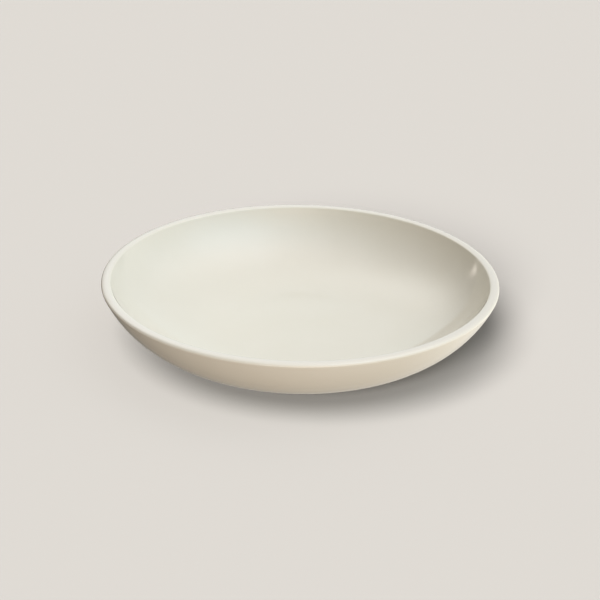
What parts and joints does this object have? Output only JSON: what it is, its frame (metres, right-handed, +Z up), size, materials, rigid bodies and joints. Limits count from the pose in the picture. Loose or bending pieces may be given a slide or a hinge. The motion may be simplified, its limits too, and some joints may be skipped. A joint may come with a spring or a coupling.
{
  "type": "deep plate",
  "caption": "Round deep plate in glazed stoneware: a coupe dish with a level well, a wall that rises in one sweep, a level lip with softened edges and a low bare foot ring.",
  "frame": {"origin": "centre of the circle that the foot ring stands on, at table height", "axes": "+Z up along the plate's axis; the plate is round, so X and Y are any two square directions on the table"},
  "size_m": [0.22, 0.22, 0.04],
  "materials": {
    "buff_stoneware": "matte",
    "ivory_glaze": "gloss"
  },
  "bodies": {
    "root": {"stoneware_body": "buff_stoneware", "glaze_coat": "ivory_glaze", "base_glaze": "ivory_glaze"}
  },
  "joints": []
}
